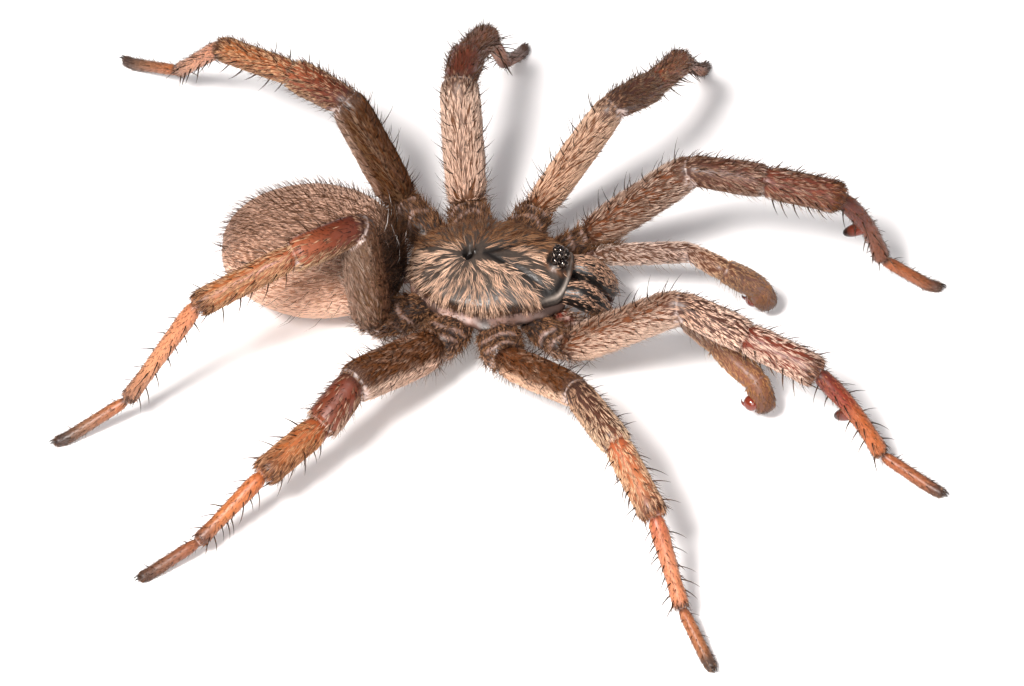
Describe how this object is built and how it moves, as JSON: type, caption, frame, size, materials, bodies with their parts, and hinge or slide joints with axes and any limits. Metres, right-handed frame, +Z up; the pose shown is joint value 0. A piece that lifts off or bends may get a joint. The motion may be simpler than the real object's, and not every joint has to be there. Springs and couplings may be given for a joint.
{
  "type": "trapdoor spider",
  "caption": "Hairy male trapdoor spider standing on a flat floor with its legs spread, a still life-size museum model.",
  "frame": {"origin": "middle of the model's footprint, on the floor that its feet stand on", "axes": "+X towards the head, +Y towards the spider's left, +Z up"},
  "size_m": [0.0546, 0.0496, 0.012],
  "materials": {
    "leg_coat": "short bronze hair lying along the leg, with a faint metallic sheen",
    "shield": "dark cuticle under flat golden hairs that radiate from the fovea",
    "abdomen_coat": "tan velvet coat with standing dark bristles",
    "dark_cuticle": "glossy dark red-brown cuticle",
    "red_brown_shank": "orange-brown cuticle with short hair and black spines",
    "eye": "wet black gloss",
    "fang": "polished dark horn"
  },
  "bodies": {
    "root": {"abdomen": "abdomen_coat", "carapace": "shield", "chelicera_left": "leg_coat", "chelicera_right": "leg_coat", "eye_group": "eye", "fang_left": "fang", "fang_right": "fang", "leg_1_left_coxa": "dark_cuticle", "leg_1_left_femur": "leg_coat", "leg_1_left_foot": "red_brown_shank", "leg_1_left_patella": "dark_cuticle", "leg_1_left_tibia": "red_brown_shank", "leg_1_right_coxa": "dark_cuticle", "leg_1_right_femur": "leg_coat", "leg_1_right_foot": "red_brown_shank", "leg_1_right_patella": "dark_cuticle", "leg_1_right_tibia": "red_brown_shank", "leg_2_left_coxa": "dark_cuticle", "leg_2_left_femur": "leg_coat", "leg_2_left_foot": "red_brown_shank", "leg_2_left_patella": "dark_cuticle", "leg_2_left_tibia": "red_brown_shank", "leg_2_right_coxa": "dark_cuticle", "leg_2_right_femur": "leg_coat", "leg_2_right_foot": "red_brown_shank", "leg_2_right_patella": "dark_cuticle", "leg_2_right_tibia": "red_brown_shank", "leg_3_left_coxa": "dark_cuticle", "leg_3_left_femur": "leg_coat", "leg_3_left_foot": "red_brown_shank", "leg_3_left_patella": "dark_cuticle", "leg_3_left_tibia": "red_brown_shank", "leg_3_right_coxa": "dark_cuticle", "leg_3_right_femur": "leg_coat", "leg_3_right_foot": "red_brown_shank", "leg_3_right_patella": "dark_cuticle", "leg_3_right_tibia": "red_brown_shank", "leg_4_left_coxa": "dark_cuticle", "leg_4_left_femur": "leg_coat", "leg_4_left_foot": "red_brown_shank", "leg_4_left_patella": "dark_cuticle", "leg_4_left_tibia": "red_brown_shank", "leg_4_right_coxa": "dark_cuticle", "leg_4_right_femur": "leg_coat", "leg_4_right_foot": "red_brown_shank", "leg_4_right_patella": "dark_cuticle", "leg_4_right_tibia": "red_brown_shank", "palp_left_coxa": "dark_cuticle", "palp_left_femur": "leg_coat", "palp_left_tarsus": "red_brown_shank", "palp_left_tibia": "leg_coat", "palp_right_coxa": "dark_cuticle", "palp_right_femur": "leg_coat", "palp_right_tarsus": "red_brown_shank", "palp_right_tibia": "leg_coat", "pedicel": "dark_cuticle", "spinneret_left": "dark_cuticle", "spinneret_right": "dark_cuticle", "sternum": "dark_cuticle"}
  },
  "joints": []
}
